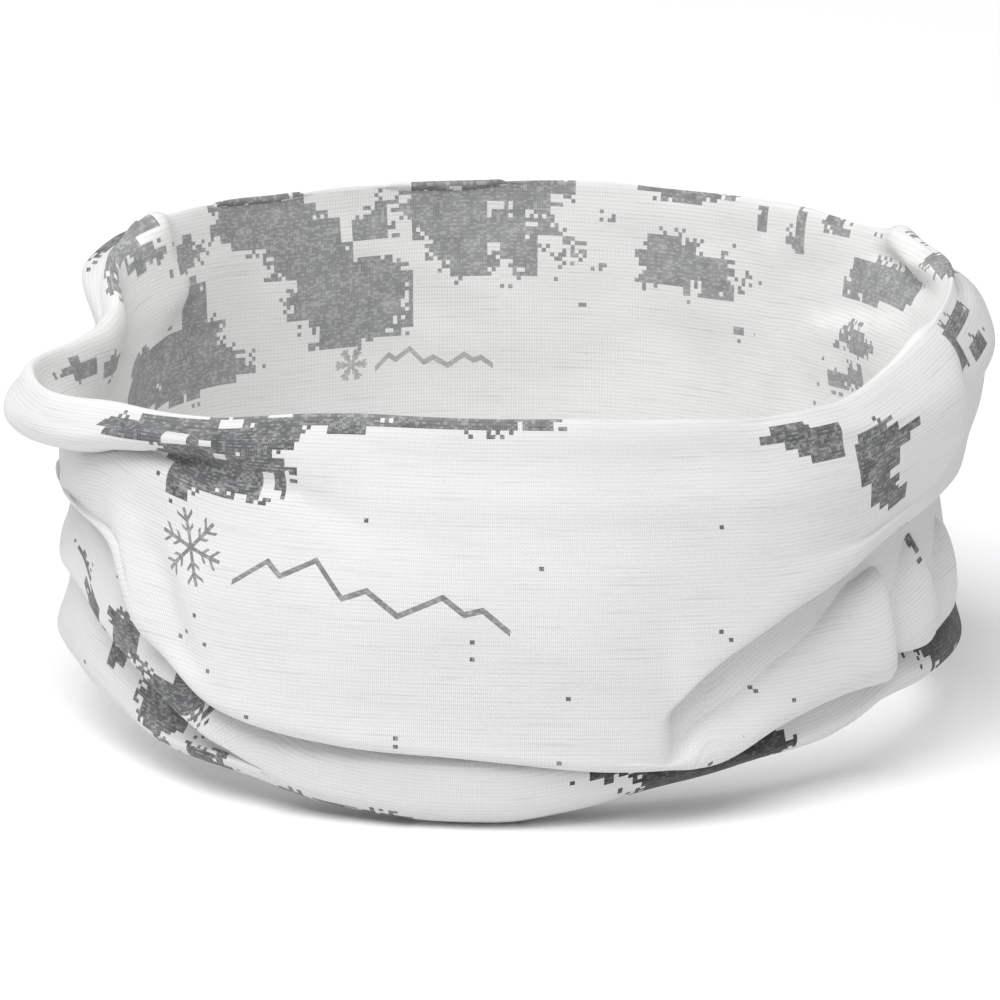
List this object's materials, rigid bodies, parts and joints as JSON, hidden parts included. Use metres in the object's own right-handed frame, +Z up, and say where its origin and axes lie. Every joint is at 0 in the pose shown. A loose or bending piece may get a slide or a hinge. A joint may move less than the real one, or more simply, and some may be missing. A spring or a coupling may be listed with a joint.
{
  "type": "neck gaiter",
  "caption": "Seamless knitted tube scarf, doubled over at the rim and scrunched into a soft ring of folds, with a winter camouflage print; the rim lifts to cover the chin and nose.",
  "frame": {"origin": "middle of the footprint, on the surface that the ring of folds stands on", "axes": "+Z up along the neck; -Y to the front, where the drape hangs lowest and the throat is; +X to the wearer's left, along the ring's longest width"},
  "size_m": [0.1842, 0.1588, 0.0832],
  "materials": {
    "printed_knit": "fine matt polyester jersey, white with a mid-grey pixelated print",
    "hem_knit": "fine matt polyester jersey, plain white",
    "overlock_thread": "spun polyester thread"
  },
  "bodies": {
    "lower_folds": {"gathered_layer": "printed_knit", "lower_roll": "printed_knit", "inner_end_hem": "hem_knit", "outer_end_hem": "hem_knit", "inner_end_stitching": "overlock_thread", "outer_end_stitching": "overlock_thread"},
    "collar": {"inner_layer": "printed_knit", "outer_drape": "printed_knit"}
  },
  "joints": [
    {"name": "rim_lift", "type": "slide", "parent": "lower_folds", "child": "collar", "axis": [0, 0, 1], "range_m": [0, 0.06]}
  ]
}
